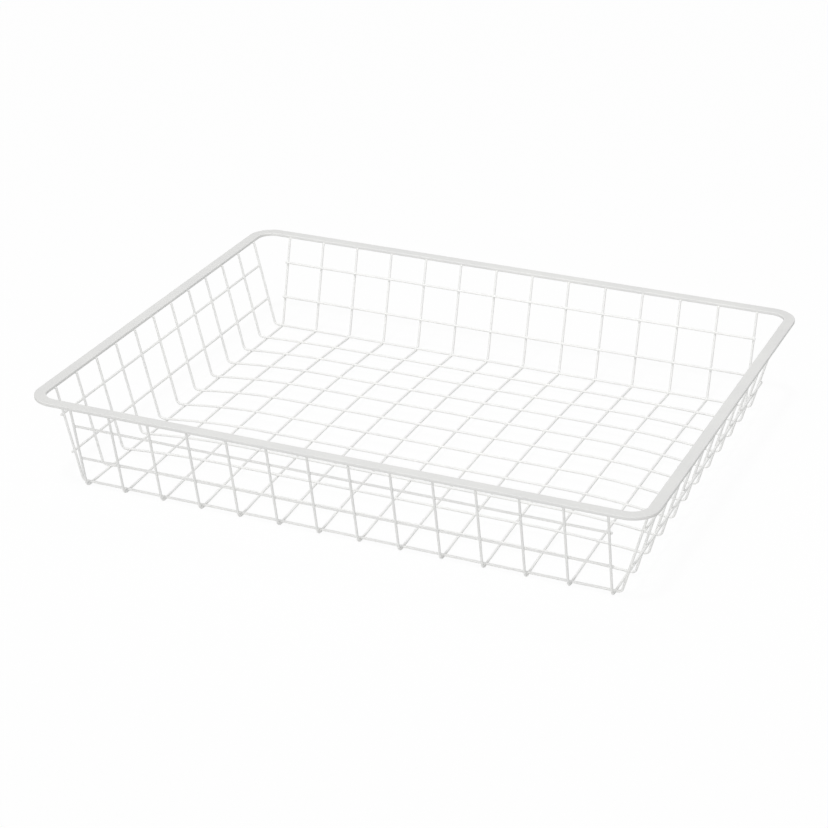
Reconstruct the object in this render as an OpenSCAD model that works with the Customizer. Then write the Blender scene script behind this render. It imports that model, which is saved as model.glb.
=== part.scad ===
// Wire drawer basket: two crossing sets of bent wires make the floor and the
// four leaning walls, straight wires tie the walls, and a flat steel strip is the rim.
// X runs left to right, Y front to back, and Z = 0 is the ground under the basket.

/* [Rim] */
// Outside length of the rim, left to right
rim_length = 543; // [530:1:580]
// Outside depth of the rim, front to back
rim_depth = 436; // [425:1:470]
// Height of the rim's top face above the ground
basket_height = 88; // [80:1:130]
// Width of the flat strip
strip_width = 10; // [6:0.5:16]
// Thickness of the flat strip
strip_thickness = 3; // [2:0.1:5]
// Radius of the strip's rolled edges
strip_edge_r = 0.8; // [0.3:0.1:0.9]
// Outside radius of the rim's corners
corner_r = 24; // [18:1:36]

/* [Wires] */
// Diameter of every wire, with its coating
wire_d = 2.1; // [1.6:0.1:4]
// Number of bent wires that run front to back
depth_wire_count = 14; // [6:1:14]
// Spacing of the wires that run front to back
depth_wire_pitch = 36; // [34:0.1:37]
// Number of bent wires that run left to right
width_wire_count = 12; // [6:1:12]
// Spacing of the wires that run left to right
width_wire_pitch = 33.3; // [31:0.1:34.5]
// How far a straight wall wire runs past the last leg's centre
wall_wire_overhang = 2; // [1.5:0.1:5]

/* [Floor] */
// Rise of the floor's middle over its edges
crown = 7; // [0:0.5:12]
// Length of the level middle of the left-to-right wires, where the crown is full
crown_level_length = 280; // [100:1:360]
// Radius in which the crown levels out at the outermost crossing wire
level_out_r = 20; // [12:1:30]
// From the outermost left-to-right wire to the lowest point of the bends beside it
depth_bend_offset = 0; // [0:0.1:3]
// From the outermost front-to-back wire to the lowest point of the bends beside it
width_bend_offset = 3; // [0:0.1:5]
// Centre-line radius of the bends in the front-to-back wires
depth_bend_r = 6; // [4:0.5:12]
// Centre-line radius of the bends in the left-to-right wires
width_bend_r = 4; // [3:0.5:12]

/* [Walls] */
// How far a leg's outer side reaches under the strip's rolled inner edge
leg_lap = 0.6; // [0.3:0.1:0.8]
// How far a leg's end rises beside that rolled edge
leg_rise = 0.5; // [0.2:0.1:0.7]
// Height above the ground at which the lower wall wires meet the legs
low_wall_wire_z = 29; // [24:0.5:40]
// Height above the ground at which the upper wall wires meet the legs
high_wall_wire_z = 62; // [50:0.5:72]

/* [Hidden] */
WALLS = ["front", "back", "left", "right"];
LEVELS = ["low", "high"];

// Sides of a wire's round section, and of a full turn of a bend
section_fn = 32;
turn_fn = 720;
coat_white = [0.93, 0.93, 0.92];
// A wire that would rise less than this over the floor is straight
least_crown = 0.1;
// How much thinner the wire is drawn along the floor's arch, and in a bend
arch_draw = 0.04;
bend_draw = 0.08;
// How far a thicker stretch of wire laps over the next, thinner one
joint_lap = 0.3;
// Size of the shapes that trim a leg's end, in wire diameters
trim_size = 4;

wire_r = wire_d / 2;
// The front-to-back wires lie on the ground and the others lie across them
depth_level = wire_r;
width_level = depth_level + wire_d;
last_depth_wire_x = (depth_wire_count - 1) / 2 * depth_wire_pitch;
last_width_wire_y = (width_wire_count - 1) / 2 * width_wire_pitch;
// From the middle of the floor to the lowest point of a bend
depth_reach = last_width_wire_y + depth_bend_offset;
width_reach = last_depth_wire_x + width_bend_offset;
crown_level_half = crown_level_length / 2;
// From the middle of the basket to the inner face of the strip
seat_x = rim_length / 2 - strip_width;
seat_y = rim_depth / 2 - strip_width;
// Height of the strip's underside, and of the legs' ends beside its rolled edge
under_z = basket_height - strip_thickness;
leg_end_z = under_z + leg_rise;
depth_lean = lean(depth_reach, depth_bend_r, depth_level, seat_y);
width_lean = lean(width_reach, width_bend_r, width_level, seat_x);

function depth_name(i) = str("depth_wire_", i);
function width_name(j) = str("width_wire_", j);
function wall_name(wall, level) = str(wall, "_wall_wire_", level);

// Place of a wire in its row, the row being centred on the basket
function depth_x(i) = (i - (depth_wire_count + 1) / 2) * depth_wire_pitch;
function width_y(j) = (j - (width_wire_count + 1) / 2) * width_wire_pitch;

// Angle from upright at which a leg leaves its bend for its place at the strip
function lean(reach, bend_r, level, seat) =
    let (across = seat + leg_lap - reach, up = under_z - level - bend_r)
    acos((bend_r + wire_r) / norm([across, up])) - atan2(up, across);

// Radius of the floor's arch that rises by rise and levels out smoothly at the end of its run
function arch_r(run, rise) = (run ^ 2 + rise ^ 2) / (2 * rise) - level_out_r;

// Height of that arch over the end of its run, at a distance from its top
function arch_z(along, run, rise) =
    rise < least_crown ? 0
    : let (r = arch_r(run, rise)) rise - r + sqrt(r ^ 2 - max(0, along) ^ 2);

// Rise of the middle of each wire, so that the two sets touch wherever they cross
function depth_crown(i) =
    arch_z(abs(depth_x(i)) - crown_level_half, last_depth_wire_x - crown_level_half, crown);
function width_crown(j) = arch_z(abs(width_y(j)), last_width_wire_y, crown);

// Foot of a leg: the point where the bend ends, as [outward, up]
function leg_foot(reach, bend_r, level, lean) =
    [reach + bend_r * cos(lean), level + bend_r - bend_r * sin(lean)];

// Point on a leg's centre line at a height above the ground
function leg_point(reach, bend_r, level, lean, z) =
    let (foot = leg_foot(reach, bend_r, level, lean)) [foot.x + (z - foot.y) * tan(lean), z];

// Straight stretch of wire between two points of its plane
module straight(from, to) {
    run = to - from;
    translate(from) rotate(atan2(run.y, run.x)) rotate([0, 90, 0])
        cylinder(d = wire_d, h = norm(run), $fn = section_fn);
}

// Curved stretch of wire in its plane, drawn thinner than the straight wire
module curve(centre, radius, start, sweep, draw) {
    translate(centre) rotate(start)
        rotate_extrude(angle = sweep, $fn = turn_fn)
            translate([radius, 0]) circle(d = wire_d - draw, $fn = section_fn);
}

// Floor of a wire: a level middle, on each side an arch that levels out at the
// outermost crossing wire, and a level stretch from there to the bend
module floor_run(last, reach, level, rise, level_half) {
    run = last - level_half;
    arch = arch_r(run, rise);
    dip = asin(run / (arch + level_out_r));
    lap = joint_lap / arch * 180 / PI;
    top = level + rise;
    if (level_half > 0) {
        straight([-level_half - joint_lap, top], [level_half + joint_lap, top]);
        curve([level_half, top - arch], arch, 90 - dip - lap, dip + lap, arch_draw);
        curve([-level_half, top - arch], arch, 90, dip + lap, arch_draw);
    } else
        curve([0, top - arch], arch, 90 - dip - lap, 2 * (dip + lap), arch_draw);
    for (side = [0, 1])
        mirror([side, 0, 0]) {
            curve([last, level + level_out_r], level_out_r, -90 - dip, dip, bend_draw);
            straight([last - joint_lap, level], [reach + joint_lap, level]);
        }
}

// Bend from the floor into the wall, and the leg that leans out to the rim, its end
// trimmed level and to the shape of the strip's rolled edge
module bend_and_leg(reach, bend_r, level, lean, seat) {
    foot = leg_foot(reach, bend_r, level, lean);
    end = leg_point(reach, bend_r, level, lean, leg_end_z);
    up = [sin(lean), cos(lean)];
    trim = trim_size * wire_d;
    curve([reach, level + bend_r], bend_r, -90, 90 - lean, bend_draw);
    difference() {
        straight(foot - joint_lap * up, end + wire_d * up);
        translate([end.x, leg_end_z + trim / 2, 0]) cube(trim, center = true);
        translate([seat, basket_height, 0]) linear_extrude(trim, center = true) strip_section();
    }
}

// Whole bent wire, drawn in the plane of its run and the upright
module bent_wire(last, reach, bend_r, level, lean, seat, rise, level_half = 0) {
    if (rise < least_crown)
        straight([-reach - joint_lap, level], [reach + joint_lap, level]);
    else
        floor_run(last, reach, level, rise, level_half);
    for (side = [0, 1])
        mirror([side, 0, 0]) bend_and_leg(reach, bend_r, level, lean, seat);
}

module depth_wire(i) {
    color(coat_white)
        translate([depth_x(i), 0, 0]) rotate([90, 0, 90])
            bent_wire(last_width_wire_y, depth_reach, depth_bend_r, depth_level, depth_lean,
                      seat_y, depth_crown(i));
}

module width_wire(j) {
    color(coat_white)
        translate([0, width_y(j), 0]) rotate([90, 0, 0])
            bent_wire(last_depth_wire_x, width_reach, width_bend_r, width_level, width_lean,
                      seat_x, width_crown(j), crown_level_half);
}

// Straight wire welded along a wall: inside the front and back legs, outside the side legs
module wall_wire(wall, level) {
    z = level == "low" ? low_wall_wire_z : high_wall_wire_z;
    on_depth_legs = wall == "front" || wall == "back";
    side = wall == "front" || wall == "left" ? -1 : 1;
    lean = on_depth_legs ? depth_lean : width_lean;
    leg = on_depth_legs
        ? leg_point(depth_reach, depth_bend_r, depth_level, lean, z)
        : leg_point(width_reach, width_bend_r, width_level, lean, z);
    inward = on_depth_legs ? 1 : -1;
    place = leg + inward * wire_d * [-cos(lean), sin(lean)];
    half = (on_depth_legs ? last_depth_wire_x : last_width_wire_y) + wall_wire_overhang;

    color(coat_white)
        translate(on_depth_legs ? [0, side * place.x, place.y] : [side * place.x, 0, place.y])
            rotate(on_depth_legs ? [0, 90, 0] : [90, 0, 0])
                cylinder(d = wire_d, h = 2 * half, center = true, $fn = section_fn);
}

// Section of the strip, its width along X from 0 outwards and its top at Y = 0
module strip_section() {
    e = strip_edge_r;
    translate([e, -strip_thickness]) square([strip_width - 2 * e, strip_thickness]);
    translate([0, e - strip_thickness]) square([strip_width, strip_thickness - 2 * e]);
    for (x = [e, strip_width - e], y = [-e, e - strip_thickness])
        translate([x, y]) circle(r = e, $fn = section_fn);
}

// Straight side of the rim along Y, its inner face on X = 0
module strip_side(length) {
    rotate([90, 0, 0]) linear_extrude(length, center = true) strip_section();
}

// Flat strip bent on its edge into a closed ring
module rim() {
    side_x = rim_length - 2 * corner_r;
    side_y = rim_depth - 2 * corner_r;
    color(coat_white)
        translate([0, 0, basket_height]) {
            for (turn = [0, 180]) rotate(turn) {
                translate([seat_x, 0, 0]) strip_side(side_y);
                rotate(90) translate([seat_y, 0, 0]) strip_side(side_x);
            }
            for (corner = [[1, 1, 0], [-1, 1, 90], [-1, -1, 180], [1, -1, 270]])
                translate([corner[0] * side_x / 2, corner[1] * side_y / 2, 0]) rotate(corner[2])
                    rotate_extrude(angle = 90, $fn = turn_fn)
                        translate([corner_r - strip_width, 0]) strip_section();
        }
}

rim();
for (i = [1 : depth_wire_count])
    depth_wire(i);
for (j = [1 : width_wire_count])
    width_wire(j);
for (wall = WALLS, level = LEVELS)
    wall_wire(wall, level);
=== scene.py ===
# Looks of the wire drawer basket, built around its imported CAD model.
from math import acos, asin, atan2, cos, hypot, pi, radians, sin, sqrt, tan

import bpy
from mathutils import Matrix, Vector


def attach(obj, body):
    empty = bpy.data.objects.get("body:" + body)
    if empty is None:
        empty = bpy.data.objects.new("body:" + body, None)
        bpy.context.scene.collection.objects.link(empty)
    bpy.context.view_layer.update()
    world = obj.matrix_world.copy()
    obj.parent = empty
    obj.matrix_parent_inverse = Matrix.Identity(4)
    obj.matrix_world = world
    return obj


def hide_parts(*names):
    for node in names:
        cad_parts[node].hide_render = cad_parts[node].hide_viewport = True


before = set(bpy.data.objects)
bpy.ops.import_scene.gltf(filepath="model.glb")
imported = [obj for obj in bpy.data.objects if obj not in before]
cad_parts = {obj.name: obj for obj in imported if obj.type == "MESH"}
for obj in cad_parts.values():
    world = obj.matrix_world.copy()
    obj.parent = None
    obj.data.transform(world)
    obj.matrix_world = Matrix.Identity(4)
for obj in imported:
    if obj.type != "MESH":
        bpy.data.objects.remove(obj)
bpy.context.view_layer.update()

MM = 0.001

# Sizes of the basket in millimetres, as in the CAD source
RIM_LENGTH = 543
RIM_DEPTH = 436
BASKET_HEIGHT = 88
STRIP_WIDTH = 10
STRIP_THICKNESS = 3
STRIP_EDGE_R = 0.8
CORNER_R = 24
WIRE_D = 2.1
WIRE_R = WIRE_D / 2
DEPTH_WIRES = 14
DEPTH_PITCH = 36
WIDTH_WIRES = 12
WIDTH_PITCH = 33.3
WALL_WIRE_OVERHANG = 2
CROWN = 7
CROWN_LEVEL_HALF = 140
LEVEL_OUT_R = 20
DEPTH_BEND_R = 6
WIDTH_BEND_R = 4
DEPTH_BEND_OFFSET = 0
WIDTH_BEND_OFFSET = 3
LEG_LAP = 0.6
LEG_RISE = 0.5
WALL_WIRE_HEIGHTS = {"low": 29, "high": 62}
LEAST_CROWN = 0.1

# Sizes that only the finish has, a weld's being its radius and its height over the wire
END_ROUNDING = 0.5
CROSSING_WELD = (1.6, 0.65)
RIM_WELD = (1.45, 0.8)
WALL_WELD_SINK = 0.4

# How finely the round shapes are divided, and the gap in millimetres that still counts as joined
WELD_SEGMENTS = 8
WELD_RINGS = 6
WIRE_SIDES = 16
ARCH_STEPS = 17
LEVEL_OUT_STEPS = 5
BEND_STEPS = 13
TIP_STEPS = 6
EDGE_STEPS = 6
CORNER_STEPS = 20
JOINED_GAP = 0.01

# Places that follow from those sizes
DEPTH_LEVEL = WIRE_R
WIDTH_LEVEL = WIRE_R + WIRE_D
LAST_X = (DEPTH_WIRES - 1) / 2 * DEPTH_PITCH
LAST_Y = (WIDTH_WIRES - 1) / 2 * WIDTH_PITCH
DEPTH_REACH = LAST_Y + DEPTH_BEND_OFFSET
WIDTH_REACH = LAST_X + WIDTH_BEND_OFFSET
SEAT_X = RIM_LENGTH / 2 - STRIP_WIDTH
SEAT_Y = RIM_DEPTH / 2 - STRIP_WIDTH
UNDER_Z = BASKET_HEIGHT - STRIP_THICKNESS
LEG_END_Z = UNDER_Z + LEG_RISE


def leg_lean(reach, bend_r, level, seat):
    """Angle from upright at which a leg leaves its bend for its place at the strip."""
    across, up = seat + LEG_LAP - reach, UNDER_Z - level - bend_r
    return acos((bend_r + WIRE_R) / hypot(across, up)) - atan2(up, across)


def arch_radius(run, rise):
    """Radius of the floor's arch that rises by rise and levels out at the end of its run."""
    return (run ** 2 + rise ** 2) / (2 * rise) - LEVEL_OUT_R


def arch_height(along, run, rise):
    """Height of the crowned floor over its edge, at a distance from the end of its level middle."""
    if rise < LEAST_CROWN:
        return 0
    r = arch_radius(run, rise)
    return rise - r + sqrt(r ** 2 - max(0, along) ** 2)


DEPTH_LEAN = leg_lean(DEPTH_REACH, DEPTH_BEND_R, DEPTH_LEVEL, SEAT_Y)
WIDTH_LEAN = leg_lean(WIDTH_REACH, WIDTH_BEND_R, WIDTH_LEVEL, SEAT_X)


def leg_foot(reach, bend_r, level, lean):
    """Where the bend ends and the leg begins, as (outward, up)."""
    return reach + bend_r * cos(lean), level + bend_r - bend_r * sin(lean)


def leg_out(foot, lean, z):
    """How far out a leg's centre line is at a height."""
    return foot[0] + (z - foot[1]) * tan(lean)


def metres(*lengths):
    """Millimetres to metres."""
    return tuple(length * MM for length in lengths)


# Node building
def add(tree, kind, links=(), **settings):
    """One node with its settings; links gives each input, by name or number, a value or a socket."""
    node = tree.nodes.new(kind)
    for name, value in settings.items():
        setattr(node, name, value)
    for key, value in dict(links).items():
        for item in value if isinstance(value, list) else [value]:
            if isinstance(item, bpy.types.NodeSocket):
                tree.links.new(item, node.inputs[key])
            else:
                node.inputs[key].default_value = item
    return node.outputs[0] if len(node.outputs) else node


def new_tree(name, sizes):
    """Geometry tree with a named input for each size, and those inputs' sockets by name."""
    tree = bpy.data.node_groups.new(name, "GeometryNodeTree")
    tree.interface.new_socket("Geometry", in_out="OUTPUT", socket_type="NodeSocketGeometry")
    for size, kind in sizes.items():
        tree.interface.new_socket(size, in_out="INPUT", socket_type=kind)
    group_in = tree.nodes.new("NodeGroupInput")
    return tree, {size: group_in.outputs[size] for size in sizes}


def close_tree(tree, parts, size):
    """Puts the parts in their place in the basket, as one coated mesh."""
    joined = add(tree, "GeometryNodeJoinGeometry", {0: parts})
    placed = add(tree, "GeometryNodeTransform",
                 {"Geometry": joined, "Translation": size["Place"], "Rotation": size["Turn"]})
    solid = add(tree, "GeometryNodeRealizeInstances", {"Geometry": placed})
    smooth = add(tree, "GeometryNodeSetShadeSmooth", {"Geometry": solid})
    coated = add(tree, "GeometryNodeSetMaterial", {"Geometry": smooth, "Material": size["Finish"]})
    add(tree, "NodeGroupOutput", {0: coated})


def sweep_wire(tree, path, size, scale=1.0):
    """Round wire along a path, its section turned so that it lies on a facet and not on a corner."""
    radius = add(tree, "ShaderNodeMath", {0: size["Wire Diameter"], 1: 2.0}, operation="DIVIDE")
    section = add(tree, "GeometryNodeCurvePrimitiveCircle", {"Resolution": WIRE_SIDES, "Radius": radius})
    half_facet = pi / WIRE_SIDES
    section = add(tree, "GeometryNodeTransform", {"Geometry": section, "Rotation": (0, 0, half_facet)})
    return add(tree, "GeometryNodeCurveToMesh",
               {"Curve": path, "Profile Curve": section, "Scale": scale, "Fill Caps": True})


def rounded_ends(tree, size):
    """Scale along a wire that rounds its cut ends, where the coat has flowed over them."""
    radius = add(tree, "ShaderNodeMath", {0: size["Wire Diameter"], 1: 2.0}, operation="DIVIDE")
    from_start = tree.nodes.new("GeometryNodeSplineParameter").outputs["Length"]
    whole = tree.nodes.new("GeometryNodeSplineLength").outputs["Length"]
    rest = add(tree, "ShaderNodeMath", {0: whole, 1: from_start}, operation="SUBTRACT")
    to_end = add(tree, "ShaderNodeMath", {0: from_start, 1: rest}, operation="MINIMUM")
    short = add(tree, "ShaderNodeMath", {0: size["End Rounding"], 1: to_end}, operation="SUBTRACT")
    short = add(tree, "ShaderNodeMath", {0: short, 1: 0.0}, operation="MAXIMUM")
    square = add(tree, "ShaderNodeMath", {0: size["End Rounding"], 1: size["End Rounding"]},
                 operation="MULTIPLY")
    drop = add(tree, "ShaderNodeMath", {0: short, 1: short}, operation="MULTIPLY")
    left = add(tree, "ShaderNodeMath", {0: square, 1: drop}, operation="SUBTRACT")
    left = add(tree, "ShaderNodeMath", {0: left, 1: 0.0}, operation="MAXIMUM")
    round_off = add(tree, "ShaderNodeMath", {0: left}, operation="SQRT")
    core = add(tree, "ShaderNodeMath", {0: radius, 1: size["End Rounding"]}, operation="SUBTRACT")
    local = add(tree, "ShaderNodeMath", {0: core, 1: round_off}, operation="ADD")
    return add(tree, "ShaderNodeMath", {0: local, 1: radius}, operation="DIVIDE")


def weld_bead(tree, size):
    """Small flattened drop of weld under the coat, thin along its own Z."""
    ball = add(tree, "GeometryNodeMeshUVSphere",
               {"Segments": WELD_SEGMENTS, "Rings": WELD_RINGS, "Radius": 1.0})
    shape = add(tree, "ShaderNodeCombineXYZ",
                {0: size["Weld Radius"], 1: size["Weld Radius"], 2: size["Weld Height"]})
    return add(tree, "GeometryNodeTransform", {"Geometry": ball, "Scale": shape})


def one_path(tree, stretches):
    """Joins stretches that meet end to end into one curve."""
    joined = add(tree, "GeometryNodeJoinGeometry", {0: stretches})
    edges = add(tree, "GeometryNodeCurveToMesh", {"Curve": joined})
    merged = add(tree, "GeometryNodeMergeByDistance", {"Geometry": edges, "Distance": JOINED_GAP * MM})
    return add(tree, "GeometryNodeMeshToCurve", {"Mesh": merged})


# Inputs of the trees: those of every piece, and those of every wire
FLOAT, VECTOR, COUNT = "NodeSocketFloat", "NodeSocketVector", "NodeSocketInt"
PIECE_SIZES = {"Place": VECTOR, "Turn": "NodeSocketRotation", "Finish": "NodeSocketMaterial"}
WIRE_SIZES = {"Wire Diameter": FLOAT, "Weld Radius": FLOAT, "Weld Height": FLOAT, "Weld Count": COUNT,
              "Weld Pitch": FLOAT, **PIECE_SIZES}


def bent_wire_tree():
    """Wire with a crowned floor and two leaning legs, drawn with X outward and Y up."""
    tree, size = new_tree("bent basket wire", {
        "Level Half": FLOAT, "Arch Radius": FLOAT, "Dip": FLOAT, "Floor Top": FLOAT,
        "Last Crossing": FLOAT, "Level Out Radius": FLOAT, "Level": FLOAT, "Reach": FLOAT,
        "Bend Radius": FLOAT, "Lean": FLOAT, "Leg Foot": VECTOR, "Leg Top": VECTOR,
        "Rim Weld": VECTOR, "Rim Weld Radius": FLOAT, "Rim Weld Height": FLOAT, **WIRE_SIZES})
    quarter = pi / 2

    # Half of the wire, from its middle to the top of one leg
    arch_y = add(tree, "ShaderNodeMath", {0: size["Floor Top"], 1: size["Arch Radius"]},
                 operation="SUBTRACT")
    arch_at = add(tree, "ShaderNodeCombineXYZ", {0: size["Level Half"], 1: arch_y})
    arch_from = add(tree, "ShaderNodeMath", {0: quarter, 1: size["Dip"]}, operation="SUBTRACT")
    out_y = add(tree, "ShaderNodeMath", {0: size["Level"], 1: size["Level Out Radius"]}, operation="ADD")
    out_at = add(tree, "ShaderNodeCombineXYZ", {0: size["Last Crossing"], 1: out_y})
    out_from = add(tree, "ShaderNodeMath", {0: -quarter, 1: size["Dip"]}, operation="SUBTRACT")
    bend_y = add(tree, "ShaderNodeMath", {0: size["Level"], 1: size["Bend Radius"]}, operation="ADD")
    bend_at = add(tree, "ShaderNodeCombineXYZ", {0: size["Reach"], 1: bend_y})
    bend_sweep = add(tree, "ShaderNodeMath", {0: quarter, 1: size["Lean"]}, operation="SUBTRACT")
    half = []
    for steps, radius, start, sweep, centre in (
            (ARCH_STEPS, size["Arch Radius"], arch_from, size["Dip"], arch_at),
            (LEVEL_OUT_STEPS, size["Level Out Radius"], out_from, size["Dip"], out_at),
            (BEND_STEPS, size["Bend Radius"], -quarter, bend_sweep, bend_at)):
        arc = add(tree, "GeometryNodeCurveArc",
                  {"Resolution": steps, "Radius": radius, "Start Angle": start, "Sweep Angle": sweep},
                  mode="RADIUS")
        half.append(add(tree, "GeometryNodeTransform", {"Geometry": arc, "Translation": centre}))

    middle = add(tree, "ShaderNodeCombineXYZ", {1: size["Floor Top"]})
    level_end = add(tree, "ShaderNodeCombineXYZ", {0: size["Level Half"], 1: size["Floor Top"]})
    last = add(tree, "ShaderNodeCombineXYZ", {0: size["Last Crossing"], 1: size["Level"]})
    low = add(tree, "ShaderNodeCombineXYZ", {0: size["Reach"], 1: size["Level"]})
    for start, end in ((middle, level_end), (last, low), (size["Leg Foot"], size["Leg Top"])):
        half.append(add(tree, "GeometryNodeCurvePrimitiveLine", {"Start": start, "End": end}))
    one_side = add(tree, "GeometryNodeJoinGeometry", {0: half})
    other_side = add(tree, "GeometryNodeTransform", {"Geometry": one_side, "Rotation": (0, pi, 0)})
    wire = sweep_wire(tree, one_path(tree, [one_side, other_side]), size)

    # Each leg is cut level beside the strip's rolled edge: its end slides along the leg to one height
    at = tree.nodes.new("ShaderNodeSeparateXYZ")
    tree.links.new(tree.nodes.new("GeometryNodeInputPosition").outputs[0], at.inputs[0])
    top = tree.nodes.new("ShaderNodeSeparateXYZ")
    tree.links.new(size["Leg Top"], top.inputs[0])
    short = add(tree, "ShaderNodeMath", {0: top.outputs[1], 1: at.outputs[1]}, operation="SUBTRACT")
    at_end = add(tree, "ShaderNodeMath", {0: short, 1: size["Wire Diameter"]}, operation="LESS_THAN")
    slope = add(tree, "ShaderNodeMath", {0: size["Lean"]}, operation="TANGENT")
    outward = add(tree, "ShaderNodeMath", {0: at.outputs[0]}, operation="SIGN")
    slope = add(tree, "ShaderNodeMath", {0: slope, 1: outward}, operation="MULTIPLY")
    slide_x = add(tree, "ShaderNodeMath", {0: short, 1: slope}, operation="MULTIPLY")
    slide = add(tree, "ShaderNodeCombineXYZ", {0: slide_x, 1: short})
    wire = add(tree, "GeometryNodeSetPosition", {"Geometry": wire, "Selection": at_end, "Offset": slide})

    # Welds on the floor, where the other set of wires lies across this one
    spread = add(tree, "ShaderNodeCombineXYZ", {0: size["Weld Pitch"]})
    first = add(tree, "ShaderNodeMath", {0: size["Last Crossing"], 1: -1.0}, operation="MULTIPLY")
    start = add(tree, "ShaderNodeCombineXYZ", {0: first})
    row = add(tree, "GeometryNodeMeshLine",
              {"Count": size["Weld Count"], "Start Location": start, "Offset": spread}, mode="OFFSET")
    along = tree.nodes.new("ShaderNodeSeparateXYZ")
    tree.links.new(tree.nodes.new("GeometryNodeInputPosition").outputs[0], along.inputs[0])
    along_2 = add(tree, "ShaderNodeMath", {0: along.outputs[0], 1: along.outputs[0]},
                  operation="MULTIPLY")
    arch_2 = add(tree, "ShaderNodeMath", {0: size["Arch Radius"], 1: size["Arch Radius"]},
                 operation="MULTIPLY")
    chord = add(tree, "ShaderNodeMath", {0: arch_2, 1: along_2}, operation="SUBTRACT")
    chord = add(tree, "ShaderNodeMath", {0: chord}, operation="SQRT")
    both = add(tree, "ShaderNodeMath", {0: size["Arch Radius"], 1: chord}, operation="ADD")
    sag = add(tree, "ShaderNodeMath", {0: along_2, 1: both}, operation="DIVIDE")
    height = add(tree, "ShaderNodeMath", {0: size["Floor Top"], 1: sag}, operation="SUBTRACT")
    height = add(tree, "ShaderNodeMath", {0: height, 1: size["Level"]}, operation="MAXIMUM")
    half_wire = add(tree, "ShaderNodeMath", {0: size["Wire Diameter"], 1: 2.0}, operation="DIVIDE")
    height = add(tree, "ShaderNodeMath", {0: height, 1: half_wire}, operation="ADD")
    lift = add(tree, "ShaderNodeCombineXYZ", {1: height})
    crossings = add(tree, "GeometryNodeSetPosition", {"Geometry": row, "Offset": lift})
    floor_welds = add(tree, "GeometryNodeInstanceOnPoints", {
        "Points": crossings, "Instance": weld_bead(tree, size), "Rotation": (quarter, 0, 0)})

    # Weld between the end of each leg and the strip
    rim_size = {"Weld Radius": size["Rim Weld Radius"], "Weld Height": size["Rim Weld Height"]}
    rim_weld = add(tree, "GeometryNodeTransform", {
        "Geometry": weld_bead(tree, rim_size), "Translation": size["Rim Weld"],
        "Rotation": (quarter, 0, 0)})
    far_weld = add(tree, "GeometryNodeTransform", {"Geometry": rim_weld, "Rotation": (0, pi, 0)})
    close_tree(tree, [wire, floor_welds, rim_weld, far_weld], size)
    return tree


def wall_wire_tree():
    """Straight wire along X with a row of welds on its +Y side."""
    tree, size = new_tree("wall wire", {"Half Length": FLOAT, "End Rounding": FLOAT, **WIRE_SIZES})
    inner = add(tree, "ShaderNodeMath", {0: size["Half Length"], 1: size["End Rounding"]},
                operation="SUBTRACT")
    inner_end = add(tree, "ShaderNodeCombineXYZ", {0: inner})
    end = add(tree, "ShaderNodeCombineXYZ", {0: size["Half Length"]})
    body = add(tree, "GeometryNodeCurvePrimitiveLine", {"Start": (0, 0, 0), "End": inner_end})
    tip = add(tree, "GeometryNodeCurvePrimitiveLine", {"Start": inner_end, "End": end})
    tip = add(tree, "GeometryNodeResampleCurve", {"Curve": tip, "Count": TIP_STEPS})
    one_side = add(tree, "GeometryNodeJoinGeometry", {0: [body, tip]})
    other_side = add(tree, "GeometryNodeTransform", {"Geometry": one_side, "Rotation": (0, pi, 0)})
    wire = sweep_wire(tree, one_path(tree, [one_side, other_side]), size, rounded_ends(tree, size))

    gaps = add(tree, "ShaderNodeMath", {0: size["Weld Count"], 1: 1.0}, operation="SUBTRACT")
    row_length = add(tree, "ShaderNodeMath", {0: gaps, 1: size["Weld Pitch"]}, operation="MULTIPLY")
    first = add(tree, "ShaderNodeMath", {0: row_length, 1: -0.5}, operation="MULTIPLY")
    half_wire = add(tree, "ShaderNodeMath", {0: size["Wire Diameter"], 1: 2.0}, operation="DIVIDE")
    start = add(tree, "ShaderNodeCombineXYZ", {0: first, 1: half_wire})
    spread = add(tree, "ShaderNodeCombineXYZ", {0: size["Weld Pitch"]})
    row = add(tree, "GeometryNodeMeshLine",
              {"Count": size["Weld Count"], "Start Location": start, "Offset": spread}, mode="OFFSET")
    welds = add(tree, "GeometryNodeInstanceOnPoints", {
        "Points": row, "Instance": weld_bead(tree, size), "Rotation": (pi / 2, 0, 0)})
    close_tree(tree, [wire, welds], size)
    return tree


def rim_tree():
    """Flat strip with rolled edges, bent on edge into a closed ring."""
    tree, size = new_tree("strip rim", {
        "Length": FLOAT, "Depth": FLOAT, "Corner Radius": FLOAT, "Strip Width": FLOAT,
        "Strip Thickness": FLOAT, "Edge Radius": FLOAT, **PIECE_SIZES})
    ring = add(tree, "GeometryNodeCurvePrimitiveQuadrilateral",
               {"Width": size["Length"], "Height": size["Depth"]}, mode="RECTANGLE")
    ring = add(tree, "GeometryNodeFilletCurve",
               {"Curve": ring, "Radius": size["Corner Radius"], "Count": CORNER_STEPS}, mode="POLY")
    ring = add(tree, "GeometryNodeSetCurveNormal", {"Curve": ring}, mode="Z_UP")
    section = add(tree, "GeometryNodeCurvePrimitiveQuadrilateral",
                  {"Width": size["Strip Width"], "Height": size["Strip Thickness"]}, mode="RECTANGLE")
    section = add(tree, "GeometryNodeFilletCurve",
                  {"Curve": section, "Radius": size["Edge Radius"], "Count": EDGE_STEPS}, mode="POLY")
    strip = add(tree, "GeometryNodeCurveToMesh", {"Curve": ring, "Profile Curve": section})
    close_tree(tree, [strip], size)
    return tree


# Finishes
def colour(hex_code):
    """sRGB hex to the linear colour that the shaders take."""
    channels = [int(hex_code[i:i + 2], 16) / 255 for i in (0, 2, 4)]
    linear = [c / 12.92 if c <= 0.04045 else ((c + 0.055) / 1.055) ** 2.4 for c in channels]
    return (*linear, 1.0)


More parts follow.
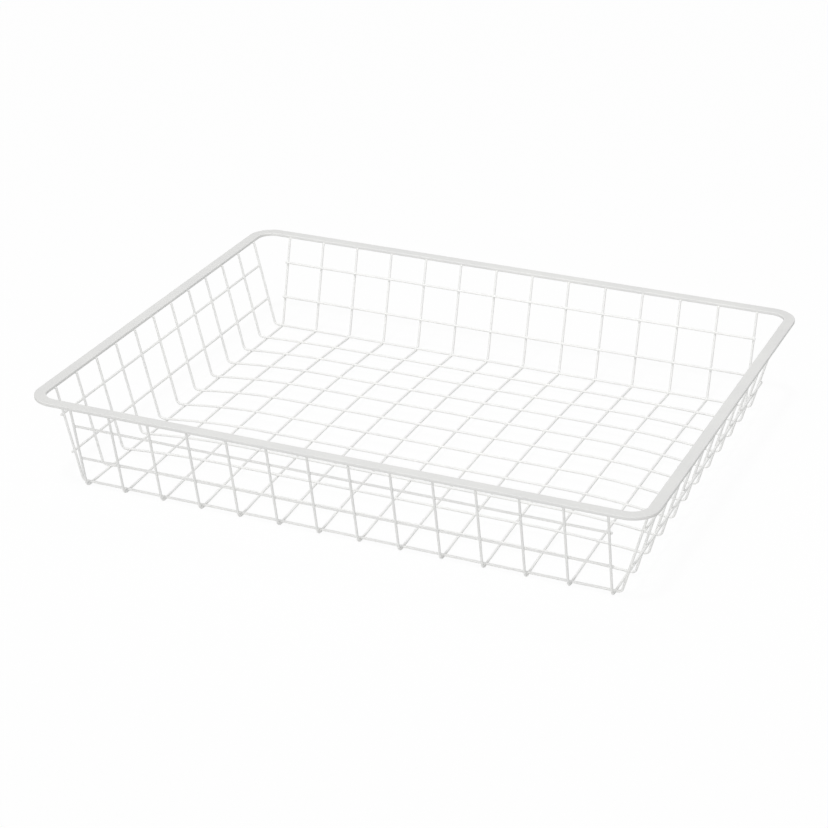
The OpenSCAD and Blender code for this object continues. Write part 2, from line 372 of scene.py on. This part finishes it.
# Patterns of the powder coat: each one's width in millimetres and how much finer detail it has.
# The peel's depth is in millimetres too.
DRIFT, GRAIN, PEEL = (45, 3.0), (0.4, 2.0), (1.6, 1.0)
DRIFT_RANGE = (0.3, 0.7)
SATIN_ROUGHNESS = (0.48, 0.62)
PEEL_STRENGTH, PEEL_DEPTH = 0.25, 0.05
COAT_IOR = 1.5


def powder_coat(name, thin, full):
    """White polyester powder coat, sprayed on steel and baked: an even pale skin with a satin gloss,
    a faint orange peel where the powder flowed out, and slightly greyer drifts where it lies thin."""
    mat = bpy.data.materials.new(name)
    mat.use_nodes = True
    tree = mat.node_tree
    shader = tree.nodes["Principled BSDF"]
    shader.inputs["IOR"].default_value = COAT_IOR
    place = tree.nodes.new("ShaderNodeTexCoord").outputs["Object"]
    drift, grain, peel = (
        add(tree, "ShaderNodeTexNoise", {"Vector": place, "Scale": 1 / (width * MM), "Detail": detail})
        for width, detail in (DRIFT, GRAIN, PEEL))
    tone = tree.nodes.new("ShaderNodeValToRGB")
    for stop, at, shade in zip(tone.color_ramp.elements, DRIFT_RANGE, (thin, full)):
        stop.position, stop.color = at, colour(shade)
    tree.links.new(drift, tone.inputs["Fac"])
    tree.links.new(tone.outputs["Color"], shader.inputs["Base Color"])
    gloss = add(tree, "ShaderNodeMapRange",
                {"Value": grain, "To Min": SATIN_ROUGHNESS[0], "To Max": SATIN_ROUGHNESS[1]})
    tree.links.new(gloss, shader.inputs["Roughness"])
    bump = add(tree, "ShaderNodeBump",
               {"Height": peel, "Strength": PEEL_STRENGTH, "Distance": PEEL_DEPTH * MM})
    tree.links.new(bump, shader.inputs["Normal"])
    return mat


# Painted light and shade: wires and strip wear one white powder coat, but the wires' copy is painted a
# little whiter and the strip's a little greyer, standing in for how the light falls on round wires and on
# the flat strip
WIRE_COAT_PAINTED_LIGHTER = powder_coat("white powder coat on wire", "EDEDEC", "F2F2F0")
STRIP_COAT_PAINTED_GREYER = powder_coat("white powder coat on flat strip", "DDDDDC", "E2E2E0")


# Pieces
bent_tree, wall_tree, ring_tree = bent_wire_tree(), wall_wire_tree(), rim_tree()


def make_piece(node, tree, values, flat_faces=False):
    """Runs a tree with these sizes and keeps the result as a plain mesh that stands for a CAD node."""
    mesh = bpy.data.meshes.new(node)
    maker = bpy.data.objects.new(node + "_maker", mesh)
    bpy.context.scene.collection.objects.link(maker)
    modifier = maker.modifiers.new("sizes", "NODES")
    modifier.node_group = tree
    for socket in tree.interface.items_tree:
        if socket.in_out == "INPUT":
            modifier[socket.identifier] = values[socket.name]
    if flat_faces:
        maker.modifiers.new("flat faces stay flat", "WEIGHTED_NORMAL")
    bpy.context.view_layer.update()
    result = maker.evaluated_get(bpy.context.evaluated_depsgraph_get())
    piece = bpy.data.objects.new("coated_" + node, bpy.data.meshes.new_from_object(result))
    bpy.context.scene.collection.objects.link(piece)
    bpy.data.objects.remove(maker)
    bpy.data.meshes.remove(mesh)
    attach(piece, "root")
    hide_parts(node)


def bent_wire(node, last, reach, bend_r, level, lean, rise, level_half, seat, welds, pitch, place, turn):
    """One wire of the floor and two walls; its welds are those that it carries on the floor."""
    flat = rise < LEAST_CROWN
    if flat:
        rise, level_half = 0, last
    run = last - level_half
    arch = LEVEL_OUT_R if flat else arch_radius(run, rise)
    foot = leg_foot(reach, bend_r, level, lean)
    make_piece(node, bent_tree, {
        "Level Half": level_half * MM, "Arch Radius": arch * MM, "Floor Top": (level + rise) * MM,
        "Dip": 0.0 if flat else asin(run / (arch + LEVEL_OUT_R)),
        "Last Crossing": last * MM, "Level Out Radius": LEVEL_OUT_R * MM, "Level": level * MM,
        "Reach": reach * MM, "Bend Radius": bend_r * MM, "Lean": lean,
        "Leg Foot": metres(*foot, 0), "Leg Top": metres(leg_out(foot, lean, LEG_END_Z), LEG_END_Z, 0),
        "Rim Weld": metres(seat, UNDER_Z, 0),
        "Rim Weld Radius": RIM_WELD[0] * MM, "Rim Weld Height": RIM_WELD[1] * MM,
        "Wire Diameter": WIRE_D * MM, "Weld Count": welds, "Weld Pitch": pitch * MM,
        "Weld Radius": CROSSING_WELD[0] * MM, "Weld Height": CROSSING_WELD[1] * MM,
        "Place": metres(*place), "Turn": turn, "Finish": WIRE_COAT_PAINTED_LIGHTER})


for i in range(DEPTH_WIRES):
    x = (i - (DEPTH_WIRES - 1) / 2) * DEPTH_PITCH
    bent_wire(f"depth_wire_{i + 1}", LAST_Y, DEPTH_REACH, DEPTH_BEND_R, DEPTH_LEVEL, DEPTH_LEAN,
              arch_height(abs(x) - CROWN_LEVEL_HALF, LAST_X - CROWN_LEVEL_HALF, CROWN), 0, SEAT_Y,
              WIDTH_WIRES, WIDTH_PITCH, (x, 0, 0), (pi / 2, 0, pi / 2))

for j in range(WIDTH_WIRES):
    y = (j - (WIDTH_WIRES - 1) / 2) * WIDTH_PITCH
    bent_wire(f"width_wire_{j + 1}", LAST_X, WIDTH_REACH, WIDTH_BEND_R, WIDTH_LEVEL, WIDTH_LEAN,
              arch_height(abs(y), LAST_Y, CROWN), CROWN_LEVEL_HALF, SEAT_X,
              0, DEPTH_PITCH, (0, y, 0), (pi / 2, 0, 0))

# Wall wires: inside the front and back legs, outside the side legs
WALLS = (("front", -1, pi), ("back", 1, 0), ("left", -1, -pi / 2), ("right", 1, pi / 2))
apart = WIRE_D - WALL_WELD_SINK
for wall, side, turn_z in WALLS:
    on_depth_legs = wall in ("front", "back")
    lean = DEPTH_LEAN if on_depth_legs else WIDTH_LEAN
    foot = (leg_foot(DEPTH_REACH, DEPTH_BEND_R, DEPTH_LEVEL, lean) if on_depth_legs
            else leg_foot(WIDTH_REACH, WIDTH_BEND_R, WIDTH_LEVEL, lean))
    inward = 1 if on_depth_legs else -1
    for level, z in WALL_WIRE_HEIGHTS.items():
        out = leg_out(foot, lean, z) - inward * apart * cos(lean)
        up = z + inward * apart * sin(lean)
        make_piece(f"{wall}_wall_wire_{level}", wall_tree, {
            "Half Length": ((LAST_X if on_depth_legs else LAST_Y) + WALL_WIRE_OVERHANG) * MM,
            "Wire Diameter": WIRE_D * MM, "End Rounding": END_ROUNDING * MM,
            "Weld Radius": CROSSING_WELD[0] * MM, "Weld Height": CROSSING_WELD[1] * MM,
            "Weld Count": DEPTH_WIRES if on_depth_legs else WIDTH_WIRES,
            "Weld Pitch": (DEPTH_PITCH if on_depth_legs else WIDTH_PITCH) * MM,
            "Place": metres(0, side * out, up) if on_depth_legs else metres(side * out, 0, up),
            "Turn": (-inward * lean, 0, turn_z), "Finish": WIRE_COAT_PAINTED_LIGHTER})

make_piece("rim", ring_tree, {
    "Length": (RIM_LENGTH - STRIP_WIDTH) * MM, "Depth": (RIM_DEPTH - STRIP_WIDTH) * MM,
    "Corner Radius": (CORNER_R - STRIP_WIDTH / 2) * MM, "Strip Width": STRIP_WIDTH * MM,
    "Strip Thickness": STRIP_THICKNESS * MM, "Edge Radius": STRIP_EDGE_R * MM,
    "Place": metres(0, 0, BASKET_HEIGHT - STRIP_THICKNESS / 2), "Turn": (0, 0, 0), "Finish": STRIP_COAT_PAINTED_GREYER},
    flat_faces=True)


# Camera at the photograph's angle, in millimetres
AZIMUTH, ELEVATION, ROLL = radians(23.145), radians(25.421), radians(-0.134)
DISTANCE, AIM, LENS, SENSOR = 1967.4, Vector((-0.2, -31.2, 44)), 99.54, 36

towards = Vector((sin(AZIMUTH) * cos(ELEVATION), -cos(AZIMUTH) * cos(ELEVATION), sin(ELEVATION)))
level_right = Vector((cos(AZIMUTH), sin(AZIMUTH), 0))
level_up = towards.cross(level_right)
camera_right = level_right * cos(ROLL) - level_up * sin(ROLL)
camera_up = level_up * cos(ROLL) + level_right * sin(ROLL)
camera_data = bpy.data.cameras.new("camera")
camera_data.lens, camera_data.sensor_width, camera_data.sensor_fit = LENS, SENSOR, "HORIZONTAL"
camera = bpy.data.objects.new("camera", camera_data)
bpy.context.scene.collection.objects.link(camera)
turned = Matrix((camera_right, camera_up, towards)).transposed().to_4x4()
camera.matrix_world = Matrix.Translation((AIM + towards * DISTANCE) * MM) @ turned
bpy.context.scene.camera = camera

# Studio: a soft box over the basket, a high key light and a low soft fill from the front,
# and even light all round. The soft box is in metres.
BOX_SIZE, BOX_HEIGHT, BOX_RADIANCE = (0.5, 0.25), 0.6, 1.6
# Height, spread, and the level lent to a face turned to the light
KEY = (radians(69), radians(6), 0.21)
FILL = (radians(20), radians(50), 0.25)
ROOM_LEVEL = 0.57


def lamp(name, kind, place, from_side, **settings):
    """A lamp that shines along the line from from_side to the basket."""
    data = bpy.data.lights.new(name, kind)
    for setting, value in settings.items():
        setattr(data, setting, value)
    light = bpy.data.objects.new(name, data)
    light.location = place
    light.rotation_euler = Vector(from_side).to_track_quat("Z", "Y").to_euler()
    light.visible_camera = False
    bpy.context.scene.collection.objects.link(light)


lamp("soft box", "AREA", (0, 0, BOX_HEIGHT), (0, 0, 1), shape="RECTANGLE",
     size=BOX_SIZE[0], size_y=BOX_SIZE[1], energy=BOX_RADIANCE * pi * BOX_SIZE[0] * BOX_SIZE[1])
for lamp_name, (height, spread, lent) in (("key light", KEY), ("fill light", FILL)):
    lamp(lamp_name, "SUN", (0, 0, 1), (0, -cos(height), sin(height)), energy=lent * pi, angle=spread)


def seen_directly(tree):
    """1 where a camera, glossy or transmission ray arrives, 0 for light on its way to a surface."""
    rays = tree.nodes.new("ShaderNodeLightPath")
    seen = add(tree, "ShaderNodeMath",
               {0: rays.outputs["Is Camera Ray"], 1: rays.outputs["Is Glossy Ray"]}, operation="MAXIMUM")
    return add(tree, "ShaderNodeMath",
               {0: seen, 1: rays.outputs["Is Transmission Ray"]}, operation="MAXIMUM")


world = bpy.data.worlds.new("white room")
world.use_nodes = True
bpy.context.scene.world = world
room = world.node_tree
room.nodes["Background"].inputs["Color"].default_value = colour("FFFFFF")
strength = add(room, "ShaderNodeMapRange",
               {"Value": seen_directly(room), "To Min": ROOM_LEVEL, "To Max": 1.0})
room.links.new(strength, room.nodes["Background"].inputs["Strength"])

# White floor: seen as white with the basket's soft shadow, a little greyer in the light it gives back,
# and clear from below so that the basket's underside can be seen
FLOOR_HALF, FLOOR_DROP = 6.0, 0.1 * MM
FLOOR_GLOW = 0.93
corners = [(x * FLOOR_HALF, y * FLOOR_HALF, -FLOOR_DROP) for x, y in ((-1, -1), (1, -1), (1, 1), (-1, 1))]
floor_mesh = bpy.data.meshes.new("floor")
floor_mesh.from_pydata(corners, [], [(0, 1, 2, 3)])
floor = bpy.data.objects.new("floor", floor_mesh)
bpy.context.scene.collection.objects.link(floor)
paper = bpy.data.materials.new("white paper floor")
paper.use_nodes = True
sheet = paper.node_tree
sheet.nodes.remove(sheet.nodes["Principled BSDF"])
pale = add(sheet, "ShaderNodeBsdfDiffuse", {"Color": colour("FCFCFC")})
greyer = add(sheet, "ShaderNodeBsdfDiffuse", {"Color": colour("E0E0E0")})
glow = add(sheet, "ShaderNodeEmission", {"Color": colour("FFFFFF"), "Strength": 1.0})
shown = add(sheet, "ShaderNodeMixShader", {0: FLOOR_GLOW, 1: pale, 2: glow})
upper = add(sheet, "ShaderNodeMixShader", {0: seen_directly(sheet), 1: greyer, 2: shown})
from_below = sheet.nodes.new("ShaderNodeNewGeometry").outputs["Backfacing"]
clear = add(sheet, "ShaderNodeBsdfTransparent")
floor_look = add(sheet, "ShaderNodeMixShader", {0: from_below, 1: upper, 2: clear})
sheet.links.new(floor_look, sheet.nodes["Material Output"].inputs["Surface"])
floor_mesh.materials.append(paper)

bpy.context.scene.view_settings.view_transform = "Standard"
